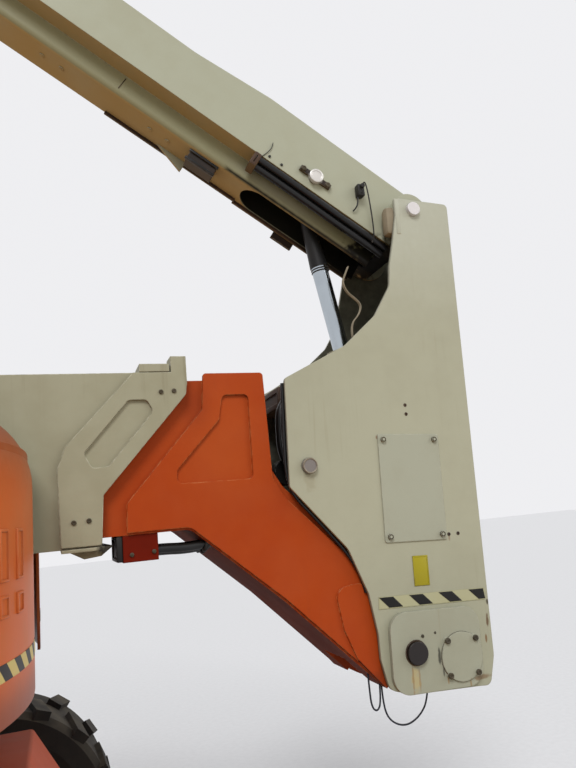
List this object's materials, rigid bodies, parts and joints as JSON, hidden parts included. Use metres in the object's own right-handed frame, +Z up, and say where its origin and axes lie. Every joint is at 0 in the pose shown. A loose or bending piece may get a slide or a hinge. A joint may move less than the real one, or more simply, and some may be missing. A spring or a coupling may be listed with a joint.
{
  "type": "articulating boom lift",
  "caption": "Self-propelled articulating boom lift: slewing turntable, telescoping tower boom, levelled upright, telescoping main boom, jib and rotating platform.",
  "frame": {"origin": "on the ground under the slewing axis", "axes": "+X to the tail and the upright end, away from the platform; +Y to the machine's right side; +Z up"},
  "size_m": [6.7614, 2.3, 5.9293],
  "materials": {
    "orange_paint": "satin",
    "cream_paint": "satin",
    "tyre_rubber": "matte",
    "cover_moulding": "satin",
    "dark_steel": "matte",
    "black_plastic": "matte",
    "chrome_rod": "polished",
    "barrel_paint": "satin",
    "pin_steel": "brushed",
    "hose_rubber": "matte",
    "rail_paint": "satin"
  },
  "bodies": {
    "chassis": {"chassis_frame": "orange_paint", "slew_ring": "dark_steel", "front_axle": "orange_paint", "rear_axle": "orange_paint"},
    "knuckle_left": {"knuckle_left": "orange_paint"},
    "knuckle_right": {"knuckle_right": "orange_paint"},
    "tie_rod": {"tie_rod": "dark_steel"},
    "wheel_front_left": {"rim_front_left": "orange_paint", "tyre_front_left": "tyre_rubber"},
    "wheel_front_right": {"rim_front_right": "orange_paint", "tyre_front_right": "tyre_rubber"},
    "wheel_rear_left": {"rim_rear_left": "orange_paint", "tyre_rear_left": "tyre_rubber"},
    "wheel_rear_right": {"rim_rear_right": "orange_paint", "tyre_rear_right": "tyre_rubber"},
    "turntable": {"turntable_frame": "orange_paint", "counterweight": "dark_steel", "engine_block": "dark_steel", "tank_block": "dark_steel", "ground_control_box": "black_plastic"},
    "hood_left": {"hood_left": "cover_moulding"},
    "hood_right": {"hood_right": "cover_moulding"},
    "tower_lift_barrel": {"tower_lift_barrel": "barrel_paint"},
    "tower_lift_rod": {"tower_lift_rod": "chrome_rod"},
    "tower_boom": {"tower_boom_base": "cream_paint"},
    "tower_fly": {"tower_fly": "orange_paint", "hose_box": "dark_steel"},
    "level_rod": {"level_rod": "chrome_rod"},
    "upright": {"upright_frame": "cream_paint", "upright_covers": "cream_paint", "upright_pins": "pin_steel"},
    "main_lift_barrel": {"main_lift_barrel": "barrel_paint"},
    "main_lift_rod": {"main_lift_rod": "chrome_rod", "main_lift_rod_end": "dark_steel"},
    "main_boom": {"main_boom_base": "cream_paint", "boom_brackets": "dark_steel", "boom_hose_sleeve": "hose_rubber"},
    "main_fly": {"main_boom_fly": "cream_paint"},
    "jib_base": {"jib_base": "orange_paint"},
    "jib_arm": {"jib_arm": "cream_paint"},
    "jib_link": {"jib_link": "dark_steel"},
    "jib_lift_barrel": {"jib_lift_barrel": "barrel_paint"},
    "jib_lift_rod": {"jib_lift_rod": "chrome_rod"},
    "platform_support": {"platform_support": "orange_paint"},
    "platform": {"platform_floor": "rail_paint", "rail_front": "rail_paint", "rail_rear": "rail_paint", "rail_left": "rail_paint", "rail_right": "rail_paint", "platform_console": "black_plastic"},
    "platform_gate": {"platform_gate": "rail_paint"}
  },
  "joints": [
    {"name": "slew", "type": "hinge", "parent": "chassis", "child": "turntable", "pos_m": [0, 0, 0.9], "axis": [0, 0, 1], "continuous": true},
    {"name": "steer_left", "type": "hinge", "parent": "chassis", "child": "knuckle_left", "pos_m": [-1.5, -0.69, 0.42], "axis": [0, 0, 1], "range_deg": [-35, 35]},
    {"name": "steer_right", "type": "hinge", "parent": "chassis", "child": "knuckle_right", "pos_m": [-1.5, 0.69, 0.42], "axis": [0, 0, 1], "range_deg": [-35.5, 35.5]},
    {"name": "tie_rod_slide", "type": "slide", "parent": "chassis", "child": "tie_rod", "axis": [0, 1, 0], "range_m": [-0.0925, 0.0925]},
    {"name": "wheel_front_left_spin", "type": "hinge", "parent": "knuckle_left", "child": "wheel_front_left", "pos_m": [-1.5, -0.96, 0.42], "axis": [0, 1, 0], "continuous": true},
    {"name": "wheel_front_right_spin", "type": "hinge", "parent": "knuckle_right", "child": "wheel_front_right", "pos_m": [-1.5, 0.96, 0.42], "axis": [0, 1, 0], "continuous": true},
    {"name": "wheel_rear_left_spin", "type": "hinge", "parent": "chassis", "child": "wheel_rear_left", "pos_m": [0.94, -0.96, 0.42], "axis": [0, 1, 0], "continuous": true},
    {"name": "wheel_rear_right_spin", "type": "hinge", "parent": "chassis", "child": "wheel_rear_right", "pos_m": [0.94, 0.96, 0.42], "axis": [0, 1, 0], "continuous": true},
    {"name": "hood_left_open", "type": "hinge", "parent": "turntable", "child": "hood_left", "pos_m": [-0.955, -0.274, 1.3], "axis": [0, 0, -1], "range_deg": [0, 80]},
    {"name": "hood_right_open", "type": "hinge", "parent": "turntable", "child": "hood_right", "pos_m": [-0.955, 0.274, 1.3], "axis": [0, 0, 1], "range_deg": [0, 80]},
    {"name": "tower_lift", "type": "hinge", "parent": "turntable", "child": "tower_boom", "pos_m": [-0.85, 0, 1.56], "axis": [0, -1, 0], "range_deg": [0, 68]},
    {"name": "tower_lift_barrel_swing", "type": "hinge", "parent": "turntable", "child": "tower_lift_barrel", "pos_m": [0.9, 0, 1.01], "axis": [0, -1, 0], "range_deg": [-26.5, 0.5]},
    {"name": "tower_lift_rod_slide", "type": "slide", "parent": "tower_lift_barrel", "child": "tower_lift_rod", "axis": [-0.9747, 0, 0.2234], "range_m": [-0.002, 0.3]},
    {"name": "tower_telescope", "type": "slide", "parent": "tower_boom", "child": "tower_fly", "axis": [1, 0, 0], "range_m": [0, 1.3]},
    {"name": "level_rod_slide", "type": "slide", "parent": "tower_fly", "child": "level_rod", "axis": [0.9984, 0, -0.0567], "range_m": [-0.002, 0.66]},
    {"name": "upright_level", "type": "hinge", "parent": "tower_fly", "child": "upright", "pos_m": [2.083, 0, 1.008], "axis": [0, -1, 0], "range_deg": [-68.5, 0.5]},
    {"name": "main_boom_lift", "type": "hinge", "parent": "upright", "child": "main_boom", "pos_m": [2.27032, 0, 2.32664], "axis": [0, 1, 0], "range_deg": [-33.8, 40]},
    {"name": "main_lift_barrel_swing", "type": "hinge", "parent": "upright", "child": "main_lift_barrel", "pos_m": [2.22276, 0, 0.97838], "axis": [0, 1, 0], "range_deg": [-4.5, 5.2]},
    {"name": "main_lift_rod_slide", "type": "slide", "parent": "main_lift_barrel", "child": "main_lift_rod", "axis": [-0.1698, 0, 0.9855], "range_m": [-0.152, 0.18]},
    {"name": "main_telescope", "type": "slide", "parent": "main_boom", "child": "main_fly", "axis": [-0.831, 0, 0.5563], "range_m": [0, 2.9]},
    {"name": "jib_base_level", "type": "hinge", "parent": "main_fly", "child": "jib_base", "pos_m": [-1.76826, 0, 5.03024], "axis": [0, 1, 0], "range_deg": [-40.5, 34.3]},
    {"name": "jib_lift", "type": "hinge", "parent": "jib_base", "child": "jib_arm", "pos_m": [-1.91826, 0, 4.99024], "axis": [0, 1, 0], "range_deg": [-50, 60]},
    {"name": "jib_link_swing", "type": "hinge", "parent": "jib_base", "child": "jib_link", "pos_m": [-1.91826, 0, 4.79024], "axis": [0, 1, 0], "range_deg": [-50.5, 60.5]},
    {"name": "jib_lift_barrel_swing", "type": "hinge", "parent": "jib_base", "child": "jib_lift_barrel", "pos_m": [-1.91826, 0, 4.87524], "axis": [0, 1, 0], "range_deg": [-51, 61.2]},
    {"name": "jib_lift_rod_slide", "type": "slide", "parent": "jib_lift_barrel", "child": "jib_lift_rod", "axis": [-0.9927, 0, -0.1205], "range_m": [-0.0885, 0.106]},
    {"name": "platform_level", "type": "hinge", "parent": "jib_arm", "child": "platform_support", "pos_m": [-3.26826, 0, 4.99024], "axis": [0, 1, 0], "range_deg": [-60.5, 50.5]},
    {"name": "platform_rotate", "type": "hinge", "parent": "platform_support", "child": "platform", "pos_m": [-3.45826, 0, 4.99024], "axis": [0, 0, 1], "range_deg": [-90, 90]},
    {"name": "gate_swing", "type": "hinge", "parent": "platform", "child": "platform_gate", "pos_m": [-3.67926, -0.897, 5.31024], "axis": [0, 0, -1], "range_deg": [0, 90]}
  ],
  "couplings": [
    {"joint": "steer_right", "follows": "steer_left", "ratio": 1},
    {"joint": "tie_rod_slide", "follows": "steer_left", "m_per_rad": 0.15},
    {"joint": "tower_lift_barrel_swing", "follows": "tower_lift", "ratio": -0.38},
    {"joint": "tower_lift_rod_slide", "follows": "tower_lift", "m_per_rad": 0.2492},
    {"joint": "upright_level", "follows": "tower_lift", "ratio": -1},
    {"joint": "level_rod_slide", "follows": "tower_lift", "m_per_rad": 0.553},
    {"joint": "main_lift_barrel_swing", "follows": "main_boom_lift", "ratio": 0.115},
    {"joint": "main_lift_rod_slide", "follows": "main_boom_lift", "m_per_rad": 0.2527},
    {"joint": "jib_base_level", "follows": "main_boom_lift", "ratio": -1},
    {"joint": "jib_link_swing", "follows": "jib_lift", "ratio": 1},
    {"joint": "jib_lift_barrel_swing", "follows": "jib_lift", "ratio": 1.01},
    {"joint": "jib_lift_rod_slide", "follows": "jib_lift", "m_per_rad": 0.1003},
    {"joint": "platform_level", "follows": "jib_lift", "ratio": -1}
  ]
}
